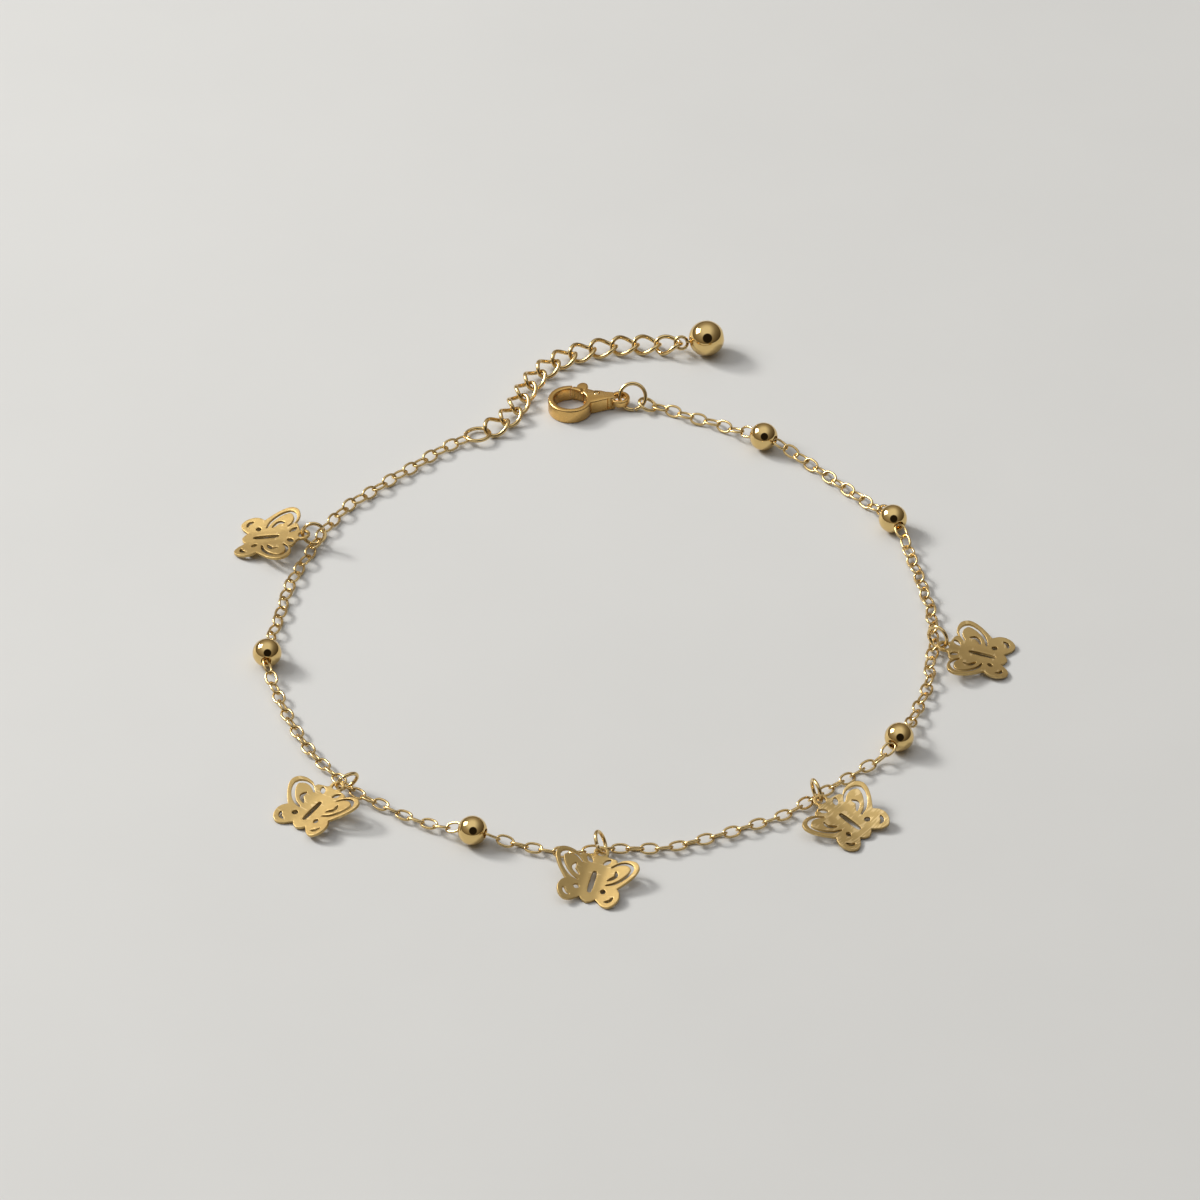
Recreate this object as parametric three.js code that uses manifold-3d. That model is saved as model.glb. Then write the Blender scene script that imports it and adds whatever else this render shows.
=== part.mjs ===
// Charm anklet: a fine cable chain with five drilled beads and five pierced butterfly charms,
// closed by a lobster clasp and an extension chain that ends in a small ball. It lies on a flat
// surface with its charms outside the loop. Millimetres, +Z up, the surface is z = 0.

import * as THREE from 'three';
import { mergeVertices } from 'three/addons/utils/BufferGeometryUtils.js';
import Module from 'manifold-3d';

const wasm = await Module();
wasm.setup();

// ---- driving dimensions -------------------------------------------------------------------

const GAP = 0.12; // clear space kept between neighbouring pieces
const RESTING = 0.02; // clear space under a charm that lies on the surface

const CHAIN = { radius: 0.55, sides: 8, step: 2.8 };
const BEAD = { radius: 1.55, bore: 0.5, turns: 16, rows: 8 };
const BALL = { radius: 2.0, bore: 0.45, turns: 18, rows: 10 };
const SHEET = 0.3; // thickness of the charms' sheet metal
const CHARM = { reach: 1.42, hole: 4.05, holeRadius: 0.5, earRadius: 0.8, foldAt: 0.9 };
const CHARM_RING = { radius: 1.2, wire: 0.4 };
const CLASP = { thick: 1.7, hookOuter: 2.45, hookInner: 1.8 };
const CLASP_EYE = { at: 5.55, outer: 1.12, hole: 0.64, low: 0.55, high: 1.35 };
const LEVER = { pivotX: 3.05, pivotY: 0.55, rivet: 0.3, low: 0.3, high: 1.4 };
const CLASP_RING = { radius: 1.45, wire: 0.42, lean: -41 };
const CLASP_LINK = { radius: 1.0, wire: 0.36 };
const TAG_RING = { radius: 1.35, wire: 0.42 };
const EXTENSION = { links: 12, length: 3.42, width: 2.7, wire: 0.42, twist: -45, roll: 14 };
const BALL_EYE = { radius: 0.68, wire: 0.36, turn: 60 };

const GOLD = { color: 0xd9b368, roughness: 0.28, metalness: 1.0 };
const POLISHED = { color: 0xdcb566, roughness: 0.12, metalness: 1.0 };
const SATIN = { color: 0xd0ab62, roughness: 0.42, metalness: 1.0 };

// ---- where things lie ---------------------------------------------------------------------

const CENTRE = { x: 0.27, y: 0.48 }; // moves the laid-out anklet so that it is centred on the origin

// Beads in order round the loop from the clasp; heading is the chain's direction through them.
const BEADS = [
  { name: 'bead_1', x: 15.4, y: 28.8, heading: -30 },
  { name: 'bead_2', x: 29.2, y: 14.1, heading: -64 },
  { name: 'bead_3', x: 28.8, y: -23.2, heading: -120 },
  { name: 'bead_4', x: -15.8, y: -38.4, heading: 160 },
  { name: 'bead_5', x: -38.0, y: -9.1, heading: 88 },
];

// Charms in the same order: x, y is the chain link that carries the ring, toward is the direction
// from it to the charm's ear; heading runs from the charm's head to its tail; pitch lifts the
// head, roll lifts the left wing, lean tips the ring, fold is each wing's rise.
const CHARMS = [
  { name: '1', x: 33.0, y: -6.6, toward: -38, heading: -12, pitch: 8, roll: 0, lean: -8, fold: 6 },
  { name: '2', x: 19.9, y: -31.9, toward: -70, heading: -43, pitch: 8, roll: -6, lean: 6, fold: 10 },
  { name: '3', x: -2.0, y: -40.3, toward: -108, heading: -104, pitch: 9, roll: 6, lean: 28, fold: 16 },
  { name: '4', x: -28.9, y: -30.2, toward: -140, heading: -128, pitch: 9, roll: -6, lean: -20, fold: 11 },
  { name: '5', x: -33.4, y: 10.9, toward: 168, heading: 172, pitch: 12, roll: 0, lean: 14, fold: 6 },
];

const CLASP_AT = { x: -5.9, y: 35.6, heading: 8 };
const CLASP_LINK_AT = { x: 2.68, y: 35.8, z: 0.66, slope: 22 };
const TAG_RING_AT = { x: -16.1, y: 30.4, z: 0.6, heading: 32, tilt: -8 };
const BALL_AT = { x: 9.3, y: 46.3, heading: 5, rise: 9 };

// The chain's route between those pieces, one row for each stretch.
const FLAT = 0.59;
const STRETCHES = [
  [[4.25, 35.15, FLAT], [7.5, 33.6, FLAT], [10.1, 32.5, FLAT], [12.4, 30.9, 0.85], 'bead_1'],
  ['bead_1', [18.6, 26.7, 0.85], [20.6, 24.9, FLAT], [22.9, 22.3, FLAT], [25.3, 19.5, FLAT],
    [27.3, 17.1, 0.75], 'bead_2'],
  ['bead_2', [30.6, 10.4, 0.8], [31.2, 7.8, FLAT], [32.1, 3.4, FLAT], [32.9, -1.2, FLAT], 'charm_1'],
  ['charm_1', [32.6, -8.8, FLAT], [32.5, -10.8, FLAT], [32.2, -13.4, FLAT], [31.1, -16.8, FLAT],
    [30.3, -19.6, 0.8], 'bead_3'],
  ['bead_3', [26.6, -26.0, 0.85], [25.0, -27.2, FLAT], [22.6, -29.4, FLAT], 'charm_2'],
  ['charm_2', [17.2, -34.3, FLAT], [14.8, -35.7, FLAT], [11.8, -37.1, FLAT], [8.9, -38.4, FLAT],
    [6.0, -39.5, FLAT], [3.1, -40.2, FLAT], 'charm_3'],
  ['charm_3', [-5.8, -40.8, FLAT], [-8.7, -40.3, FLAT], [-11.2, -39.6, 0.6], [-12.8, -39.2, 0.9],
    'bead_4'],
  ['bead_4', [-19.2, -36.9, 0.8], [-21.6, -35.6, FLAT], [-24.3, -33.9, FLAT], [-27.2, -31.8, FLAT],
    'charm_4'],
  ['charm_4', [-31.4, -26.9, FLAT], [-33.2, -23.9, FLAT], [-35.0, -20.0, FLAT],
    [-36.4, -15.9, FLAT], [-37.4, -12.9, 0.8], 'bead_5'],
  ['bead_5', [-37.6, -5.3, 0.8], [-37.1, -2.6, FLAT], [-36.4, 1.8, FLAT], [-35.4, 5.6, FLAT],
    [-34.3, 8.6, FLAT], 'charm_5'],
  ['charm_5', [-32.3, 13.6, FLAT], [-30.2, 17.3, FLAT], [-27.8, 19.9, FLAT], [-25.0, 22.7, FLAT],
    [-22.4, 25.3, FLAT], [-20.2, 27.5, FLAT], [-18.2, 29.4, FLAT]],
];

// The extension's route from the tag ring's centre to the eye of the ball's pin.
const EXTENSION_LOW = 0.92;
const EXTENSION_ROUTE = [
  [-16.1, 30.4, 0.85], [-13.9, 31.7, EXTENSION_LOW], [-12.3, 33.9, EXTENSION_LOW],
  [-11.3, 36.9, EXTENSION_LOW], [-10.1, 39.9, EXTENSION_LOW], [-8.0, 42.9, EXTENSION_LOW],
  [-4.6, 45.2, EXTENSION_LOW], [-0.6, 46.3, EXTENSION_LOW], [3.6, 46.6, EXTENSION_LOW],
  [6.6, 46.1, 1.55],
];

// ---- geometry helpers ---------------------------------------------------------------------

const rad = THREE.MathUtils.degToRad;
const UP = new THREE.Vector3(0, 0, 1);

const point = ([x, y, z]) => new THREE.Vector3(x, y, z);

const flatDirection = (degrees) => new THREE.Vector3(Math.cos(rad(degrees)), Math.sin(rad(degrees)), 0);

function bare(geometry) {
  geometry.deleteAttribute('normal');
  geometry.deleteAttribute('uv');
  return mergeVertices(geometry, 1e-4);
}

function toManifold(geometry) {
  const merged = bare(geometry);
  return new wasm.Manifold(new wasm.Mesh({
    numProp: 3,
    vertProperties: new Float32Array(merged.attributes.position.array),
    triVerts: new Uint32Array(merged.index.array),
  }));
}

function fromManifold(manifold) {
  const mesh = manifold.getMesh();
  const geometry = new THREE.BufferGeometry();
  geometry.setAttribute('position', new THREE.BufferAttribute(mesh.vertProperties, mesh.numProp));
  geometry.setIndex(new THREE.BufferAttribute(mesh.triVerts, 1));
  return geometry;
}

function piece(name, geometry, finish) {
  const mesh = new THREE.Mesh(geometry, new THREE.MeshStandardMaterial(finish));
  mesh.name = name;
  return mesh;
}

function circle(radius, count, cx = 0, cy = 0) {
  return Array.from({ length: count }, (_, i) => {
    const turn = (2 * Math.PI * i) / count;
    return new THREE.Vector2(cx + radius * Math.cos(turn), cy + radius * Math.sin(turn));
  });
}

function plate(outline, low, high, holes = []) {
  const shape = new THREE.Shape(outline);
  shape.holes = holes.map((hole) => new THREE.Path(hole));
  return new THREE.ExtrudeGeometry(shape, { depth: high - low, bevelEnabled: false })
    .translate(0, 0, low);
}

// A wire or chain tube along a smooth route with flat ends.
function tube(points, radius, sides, step) {
  const path = new THREE.CatmullRomCurve3(points, false, 'centripetal');
  const steps = Math.max(2, Math.round(path.getLength() / step));
  return new THREE.ExtrudeGeometry(new THREE.Shape(circle(radius, sides)), { steps, extrudePath: path });
}

// A ball with a hole through it, its bore along +X.
function drilledBall({ radius, bore, turns, rows }) {
  const edge = Math.acos(bore / radius);
  const profile = [];
  for (let i = 0; i <= rows; i += 1) {
    const lift = edge * ((2 * i) / rows - 1);
    profile.push(new THREE.Vector2(radius * Math.cos(lift), radius * Math.sin(lift)));
  }
  profile.push(profile[0].clone());
  return new THREE.LatheGeometry(profile, turns).rotateZ(-Math.PI / 2);
}

function wireRing({ radius, wire }) {
  return new THREE.TorusGeometry(radius, wire / 2, 6, 16);
}

// ---- beads and chain ----------------------------------------------------------------------

const bead = Object.fromEntries(BEADS.map((row) => {
  const centre = new THREE.Vector3(row.x, row.y, BEAD.radius);
  return [row.name, { centre, along: flatDirection(row.heading) }];
}));

const charmLink = Object.fromEntries(CHARMS.map((row) => (
  [`charm_${row.name}`, new THREE.Vector3(row.x, row.y, FLAT + 0.05)])));

function buildBeads() {
  return BEADS.map((row) => {
    const mesh = piece(row.name, drilledBall(BEAD), POLISHED);
    mesh.position.copy(bead[row.name].centre);
    mesh.rotation.z = rad(row.heading);
    return mesh;
  });
}

// The end of a stretch: the mouth of a bead's bore, or the side of a charm ring's wire.
function stretchEnd(name, nextPoint) {
  if (bead[name]) {
    const { centre, along } = bead[name];
    const mouth = Math.sqrt(BEAD.radius ** 2 - BEAD.bore ** 2) + GAP;
    const side = Math.sign(nextPoint.clone().sub(centre).dot(along));
    return centre.clone().addScaledVector(along, side * mouth);
  }
  const link = charmLink[name];
  const away = nextPoint.clone().sub(link).normalize();
  return link.clone().addScaledVector(away, CHARM_RING.wire / 2 + 2 * GAP);
}

function buildChain() {
  return STRETCHES.map((row, i) => {
    const last = row.length - 1;
    const points = row.map((stop, k) => {
      if (typeof stop !== 'string') return point(stop);
      return stretchEnd(stop, point(row[k === 0 ? 1 : last - 1]));
    });
    const name = `chain_${String(i + 1).padStart(2, '0')}`;
    return piece(name, tube(points, CHAIN.radius, CHAIN.sides, CHAIN.step), GOLD);
  });
}

// ---- butterfly charms ---------------------------------------------------------------------

// Right half of the outline from the neck to the tail; u across, v towards the head.
const WING_OUTLINE = [
  [0.72, 3.75], [0.95, 3.55], [1.45, 3.4], [1.9, 3.2], [2.05, 2.88], [2.6, 3.2], [3.4, 3.26],
  [4.15, 2.98], [4.54, 2.35], [4.48, 1.65], [4.15, 0.95], [3.65, 0.25], [2.85, -0.65],
  [3.25, -1.25], [3.36, -2.0], [3.05, -2.8], [2.4, -3.25], [1.7, -3.05], [1.2, -2.6],
  [0.84, -2.25], [0.48, -2.6], [0, -2.8],
];

// Pierced slots of the right wing as centre lines, and their widths.
const WING_SLOTS = [
  { line: [[1.6, 2.2], [2.3, 2.7], [3.15, 2.76], [3.82, 2.25], [3.72, 1.5], [3.25, 0.75],
    [2.45, 0.05], [1.6, -0.25]], width: 0.34 },
  { line: [[2.2, 1.6], [2.28, 0.98], [1.6, 0.42]], width: 0.34 },
  { line: [[0.74, 2.62], [1.14, 3.1]], width: 0.46 },
  { line: [[1.42, -1.1], [1.5, -1.2]], width: 0.48 },
  { line: [[2.0, -2.5], [2.42, -2.4], [2.68, -1.95]], width: 0.3 },
];
const BODY_SLOT = { line: [[0, 1.2], [0, -1.3]], width: 0.46 };

// The closed outline of a slot of one width, anticlockwise, with pointed round ends.
function slotOutline({ line, width }) {
  const curve = line.length > 2
    ? new THREE.SplineCurve(line.map(([u, v]) => new THREE.Vector2(u, v)))
    : new THREE.LineCurve(new THREE.Vector2(...line[0]), new THREE.Vector2(...line[1]));
  const steps = line.length > 2 ? line.length : 1;
  const right = [];
  const left = [];
  for (let i = 0; i <= steps; i += 1) {
    const at = curve.getPoint(i / steps);
    const along = curve.getTangent(i / steps);
    const side = new THREE.Vector2(along.y, -along.x).multiplyScalar(width / 2);
    right.push(at.clone().add(side));
    left.unshift(at.clone().sub(side));
  }
  const cap = (at, along) => at.clone().addScaledVector(along, width / 2);
  const endCap = cap(curve.getPoint(1), curve.getTangent(1));
  const startCap = cap(curve.getPoint(0), curve.getTangent(0).negate());
  return [startCap, ...right, endCap, ...left];
}

const mirrored = (points) => points.map((p) => new THREE.Vector2(-p.x, p.y)).reverse();

function butterflyOutline() {
  const half = new THREE.SplineCurve(WING_OUTLINE.map(([u, v]) => new THREE.Vector2(u, v)))
    .getPoints(WING_OUTLINE.length + 9);
  const ear = [];
  for (let turn = 150; turn >= 30; turn -= 30) {
    ear.push(new THREE.Vector2(CHARM.earRadius * Math.cos(rad(turn)),
      CHARM.hole + CHARM.earRadius * Math.sin(rad(turn))));
  }
  return [...ear, ...half.slice(0, -1), ...mirrored(half)];
}

// A flat pierced butterfly, then both wings folded up about lines beside the body.
function butterflyGeometry(fold) {
  const slots = WING_SLOTS.map(slotOutline);
  const holes = [...slots, ...slots.map(mirrored), slotOutline(BODY_SLOT),
    circle(CHARM.holeRadius, 10, 0, CHARM.hole)];
  const geometry = plate(butterflyOutline(), 0, SHEET, holes);
  const position = geometry.attributes.position;
  for (let i = 0; i < position.count; i += 1) {
    const u = position.getX(i);
    const out = Math.max(0, Math.abs(u) - CHARM.foldAt);
    const side = Math.sign(u) * (Math.abs(u) - out + out * Math.cos(rad(fold)));
    position.setXYZ(i, side, position.getY(i), position.getZ(i) + out * Math.sin(rad(fold)));
  }
  return bare(geometry);
}

// Turns a flat charm, head along +Y, to its heading, lifts its head and rests it on the surface.
function charmPlacement(row) {
  const carrier = new THREE.Group();
  const tilt = new THREE.Group();
  carrier.add(tilt);
  tilt.rotation.set(rad(row.pitch), rad(row.roll), 0, 'XYZ');
  carrier.rotation.z = rad(row.heading + 90);
  const mesh = piece(`butterfly_${row.name}`, butterflyGeometry(row.fold), SATIN);
  mesh.position.set(0, -CHARM.hole, -SHEET / 2);
  tilt.add(mesh);
  carrier.updateMatrixWorld(true);
  const lowest = new THREE.Box3().setFromObject(carrier, true).min.z;
  const hole = charmLink[`charm_${row.name}`].clone()
    .addScaledVector(flatDirection(row.toward), CHARM.reach);
  hole.z = RESTING - lowest;
  carrier.position.copy(hole);
  return { carrier, hole };
}

// A ring through two points, tipped from upright about the line between them.
function ringThrough(name, ring, from, to, lean, finish) {
  const chord = to.clone().sub(from);
  const along = chord.clone().normalize();
  const side = new THREE.Vector3().crossVectors(UP, along).normalize();
  const rise = new THREE.Vector3().crossVectors(along, side)
    .applyAxisAngle(along, rad(lean));
  const centre = from.clone().addScaledVector(chord, 0.5)
    .addScaledVector(rise, Math.sqrt(ring.radius ** 2 - chord.lengthSq() / 4));
  const normal = new THREE.Vector3().crossVectors(along, rise);
  const mesh = piece(name, wireRing(ring), finish);
  mesh.position.copy(centre);
  mesh.quaternion.setFromRotationMatrix(new THREE.Matrix4().makeBasis(along, rise, normal));
  return mesh;
}

function buildCharms() {
  return CHARMS.flatMap((row) => {
    const { carrier, hole } = charmPlacement(row);
    const link = charmLink[`charm_${row.name}`];
    return [carrier, ringThrough(`charm_ring_${row.name}`, CHARM_RING, link, hole, row.lean, GOLD)];
  });
}

// ---- lobster clasp ------------------------------------------------------------------------

// Points on an arc round the origin, from one angle to another, in even steps.
function arc(radius, from, to, steps) {
  return Array.from({ length: steps + 1 }, (_, i) => {
    const turn = rad(from + ((to - from) * i) / steps);
    return new THREE.Vector2(radius * Math.cos(turn), radius * Math.sin(turn));
  });
}

// A closed rounded outline through the given corners.
function rounded(corners, count) {
  const loop = new THREE.CatmullRomCurve3(corners.map(([x, y]) => new THREE.Vector3(x, y, 0)), true,
    'centripetal');
  return loop.getPoints(count).slice(0, -1).map((p) => new THREE.Vector2(p.x, p.y));
}

// Outline of the clasp's body in its own frame: hook round the origin, eye along +X.
function claspOutline() {
  return [...arc(CLASP.hookOuter, 24, 336, 28), new THREE.Vector2(2.75, -0.95),
    new THREE.Vector2(3.35, -0.8), new THREE.Vector2(4.1, -0.62), new THREE.Vector2(4.95, -0.55),
    new THREE.Vector2(4.95, 0.55), new THREE.Vector2(4.1, 0.78), new THREE.Vector2(3.6, 1.05),
    new THREE.Vector2(3.0, 1.2)];
}

// The lever's arm fills the far side of the hook between these angles.
const ARM = { from: 14, to: 74 };

function armOutline(inner, outer, from, to) {
  return [...arc(outer, from, to, 8), ...arc(inner, from, to, 8).reverse()];
}

function claspBodyGeometry() {
  const pivot = [LEVER.pivotX, LEVER.pivotY];
  const body = toManifold(plate(claspOutline(), 0, CLASP.thick, [circle(CLASP.hookInner, 32)]));
  const eye = toManifold(plate(circle(CLASP_EYE.outer, 24, CLASP_EYE.at, 0), CLASP_EYE.low,
    CLASP_EYE.high));
  const eyeHole = toManifold(plate(circle(CLASP_EYE.hole, 20, CLASP_EYE.at, 0), -1, 3));
  const gate = toManifold(plate(armOutline(0.9, 4.4, ARM.from - 12, ARM.to + 8), -1, 3));
  const pocket = toManifold(plate([
    new THREE.Vector2(1.4, -0.5), new THREE.Vector2(3.6, -0.5), new THREE.Vector2(4.05, 0.1),
    new THREE.Vector2(4.05, 2.6), new THREE.Vector2(1.4, 2.6)],
  LEVER.low - GAP, LEVER.high + GAP));
  const rivetHole = toManifold(plate(circle(LEVER.rivet + 0.06, 16, ...pivot), -1, 3));
  const nearRoot = toManifold(plate(circle(1.05, 24, ...pivot), 0, CLASP.thick));
  const cheeks = gate.subtract(nearRoot);
  return fromManifold(body.add(eye).subtract(cheeks).subtract(pocket).subtract(eyeHole)
    .subtract(rivetHole));
}

function claspLeverGeometry() {
  const arm = toManifold(plate(armOutline(CLASP.hookInner + 0.05, CLASP.hookOuter, 30, ARM.to),
    LEVER.low, LEVER.high));
  const root = toManifold(plate(rounded([[1.62, 0.98], [2.55, -0.1], [3.3, -0.1], [3.62, 0.35],
    [3.3, 1.2], [2.3, 1.75], [1.9, 1.6]], 28), LEVER.low, LEVER.high));
  const tab = toManifold(plate(rounded([[1.1, 2.1], [1.75, 1.6], [2.1, 2.5], [2.1, 3.2],
    [1.75, 3.45], [1.42, 3.15]], 24), LEVER.low, LEVER.high));
  const hole = toManifold(plate(circle(LEVER.rivet + 0.06, 16, LEVER.pivotX, LEVER.pivotY), -1, 3));
  return fromManifold(arm.add(root).add(tab).subtract(hole));
}

function buildClasp() {
  const clasp = new THREE.Group();
  clasp.position.set(CLASP_AT.x, CLASP_AT.y, 0);
  clasp.rotation.z = rad(CLASP_AT.heading);
  clasp.add(piece('clasp_body', claspBodyGeometry(), SATIN));
  clasp.add(piece('clasp_lever', claspLeverGeometry(), SATIN));
  const rivet = piece('clasp_rivet', new THREE.CylinderGeometry(LEVER.rivet, LEVER.rivet,
    CLASP.thick, 12).rotateX(Math.PI / 2), GOLD);
  rivet.position.set(LEVER.pivotX, LEVER.pivotY, CLASP.thick / 2 + 0.05);
  clasp.add(rivet);
  return clasp;
}

function buildClaspRings() {
  const eye = new THREE.Vector3(CLASP_EYE.at, 0, (CLASP_EYE.low + CLASP_EYE.high) / 2)
    .applyAxisAngle(UP, rad(CLASP_AT.heading)).add(new THREE.Vector3(CLASP_AT.x, CLASP_AT.y, 0));
  const link = piece('clasp_link', wireRing(CLASP_LINK), GOLD);
  link.position.set(CLASP_LINK_AT.x, CLASP_LINK_AT.y, CLASP_LINK_AT.z);
  link.rotation.y = rad(CLASP_LINK_AT.slope);
  const inside = CLASP_LINK.radius - (CLASP_LINK.wire + CLASP_RING.wire) / 2 - GAP;
  const linkHole = new THREE.Vector3(-inside, 0, 0).applyEuler(link.rotation).add(link.position);
  return [link, ringThrough('clasp_ring', CLASP_RING, eye, linkHole, CLASP_RING.lean, GOLD)];
}

// ---- extension ----------------------------------------------------------------------------

// A curb link: an oval whose two ends are twisted opposite ways.
class CurbLink extends THREE.Curve {
  getPoint(t) {
    const turn = 2 * Math.PI * t;
    const halfLength = (EXTENSION.length - EXTENSION.wire) / 2;
    const across = ((EXTENSION.width - EXTENSION.wire) / 2) * Math.sin(turn);
    const twist = rad(EXTENSION.twist) * Math.cos(turn);
    return new THREE.Vector3(halfLength * Math.cos(turn), across * Math.cos(twist),
      across * Math.sin(twist));
  }
}

function buildExtension() {
  const route = new THREE.CatmullRomCurve3(EXTENSION_ROUTE.map(point), false, 'centripetal');
  const inside = EXTENSION.length / 2 - EXTENSION.wire;
  const first = TAG_RING.radius - TAG_RING.wire / 2 + inside - GAP;
  const pitch = EXTENSION.length - 2 * EXTENSION.wire - GAP;
  const length = route.getLength();
  const links = [];
  for (let i = 0; i < EXTENSION.links; i += 1) {
    const u = (first + pitch * i) / length;
    const along = route.getTangentAt(u);
    const side = new THREE.Vector3().crossVectors(UP, along).normalize();
    const rise = new THREE.Vector3().crossVectors(along, side);
    const name = `extension_link_${String(i + 1).padStart(2, '0')}`;
    const mesh = piece(name, new THREE.TubeGeometry(new CurbLink(), 16, EXTENSION.wire / 2, 6, true),
      GOLD);
    mesh.position.copy(route.getPointAt(u));
    mesh.quaternion.setFromRotationMatrix(new THREE.Matrix4().makeBasis(along, side, rise));
    mesh.rotateX(rad(EXTENSION.roll));
    links.push(mesh);
  }
  const tagRing = piece('tag_ring', wireRing(TAG_RING), GOLD);
  tagRing.position.set(TAG_RING_AT.x, TAG_RING_AT.y, TAG_RING_AT.z);
  tagRing.rotation.set(rad(TAG_RING_AT.tilt), 0, rad(TAG_RING_AT.heading), 'ZYX');
  return [tagRing, ...links];
}

// The ball and the eye pin through it; both along +X in their own frame.
function buildBall() {
  const reach = BALL.radius + BALL_EYE.radius + BALL_EYE.wire / 2;
  const eye = toManifold(new THREE.TorusGeometry(BALL_EYE.radius, BALL_EYE.wire / 2, 6, 14)
    .rotateX(rad(BALL_EYE.turn)).translate(-reach, 0, 0));
  const shankLength = BALL.radius + BALL_EYE.wire;
  const shank = toManifold(new THREE.CylinderGeometry(BALL_EYE.wire / 2, BALL_EYE.wire / 2,
    shankLength, 8).rotateZ(Math.PI / 2).translate(-shankLength / 2, 0, 0));
  const ball = new THREE.Group();
  ball.position.set(BALL_AT.x, BALL_AT.y, BALL.radius);
  ball.rotation.set(0, rad(-BALL_AT.rise), rad(BALL_AT.heading), 'ZYX');
  ball.add(piece('end_ball', drilledBall(BALL), POLISHED));
  ball.add(piece('ball_pin', fromManifold(eye.add(shank)), GOLD));
  return ball;
}

// ---- the anklet ---------------------------------------------------------------------------

const laid = new THREE.Group();
laid.position.set(CENTRE.x, CENTRE.y, 0);
laid.add(...buildChain(), ...buildBeads(), ...buildCharms());
laid.add(buildClasp(), ...buildClaspRings(), ...buildExtension(), buildBall());

const anklet = new THREE.Group();
anklet.add(laid);

export default anklet;
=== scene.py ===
"""Charm anklet: fine cable chain, round beads, pierced butterfly charms, lobster clasp, extension.

Laid out as an add-on and run as a script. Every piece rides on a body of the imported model.
"""

import math
import random

import bmesh
import bpy
import numpy as np
from bpy.props import FloatProperty, FloatVectorProperty, IntProperty, PointerProperty
from mathutils import Matrix, Vector


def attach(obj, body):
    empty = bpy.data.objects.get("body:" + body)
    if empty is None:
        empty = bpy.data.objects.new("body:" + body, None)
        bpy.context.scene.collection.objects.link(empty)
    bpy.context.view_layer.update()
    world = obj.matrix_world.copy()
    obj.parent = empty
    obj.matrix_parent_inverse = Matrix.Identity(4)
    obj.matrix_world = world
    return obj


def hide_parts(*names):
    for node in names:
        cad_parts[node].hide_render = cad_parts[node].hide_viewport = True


bl_info = {
    "name": "Charm anklet",
    "version": (1, 0, 0),
    "blender": (4, 5, 0),
    "location": "3D View > Sidebar > Anklet",
    "description": "Builds the looks of a butterfly charm anklet around its packed frame",
    "category": "Object",
}

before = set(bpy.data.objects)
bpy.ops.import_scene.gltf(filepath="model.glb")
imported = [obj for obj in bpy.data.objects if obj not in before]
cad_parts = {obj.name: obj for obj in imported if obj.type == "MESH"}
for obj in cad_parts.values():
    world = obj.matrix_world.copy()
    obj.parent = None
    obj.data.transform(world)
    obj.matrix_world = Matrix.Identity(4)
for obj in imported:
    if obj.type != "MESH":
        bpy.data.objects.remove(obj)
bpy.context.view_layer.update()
MM = 0.001
LAID = Vector((0.27, 0.48, 0.0))  # from the layout's own origin to the frame's, in millimetres
SEED = 11

# ---- the layout, in millimetres ------------------------------------------------------------------

FLAT = 0.59  # height of the chain's middle where it lies on the surface

# Each bead's middle, and the heading of its bore in degrees.
BEADS = {
    "bead_1": (15.4, 28.8, -30),
    "bead_2": (29.2, 14.1, -64),
    "bead_3": (28.8, -23.2, -120),
    "bead_4": (-15.8, -38.4, 160),
    "bead_5": (-38.0, -9.1, 88),
}

# Each charm's carrying link, the way its ring points, and how its sheet lies, in degrees.
CHARMS = {
    "1": {"link": (33.0, -6.6), "toward": -38, "heading": -12,
          "pitch": 8, "roll": 0, "fold": 6},
    "2": {"link": (19.9, -31.9), "toward": -70, "heading": -43,
          "pitch": 8, "roll": -6, "fold": 10},
    "3": {"link": (-2.0, -40.3), "toward": -108, "heading": -104,
          "pitch": 9, "roll": 6, "fold": 16},
    "4": {"link": (-28.9, -30.2), "toward": -140, "heading": -128,
          "pitch": 9, "roll": -6, "fold": 11},
    "5": {"link": (-33.4, 10.9), "toward": 168, "heading": 172,
          "pitch": 12, "roll": 0, "fold": 6},
}

CHARM_LIFT = 0.05  # how much higher a link lies that carries a charm
BEAD_TUCK = 0.35  # how far an end link reaches into a bead's bore

# The fixed ends of the chain, and how far from each the next link's middle is.
RUN_ENDS = {
    "clasp_link": {"at": (3.61, 35.8, 0.43), "gap": 0.575},
    "tag_ring": {"at": (-17.32, 29.82, 0.55), "gap": 0.575},
}

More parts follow.
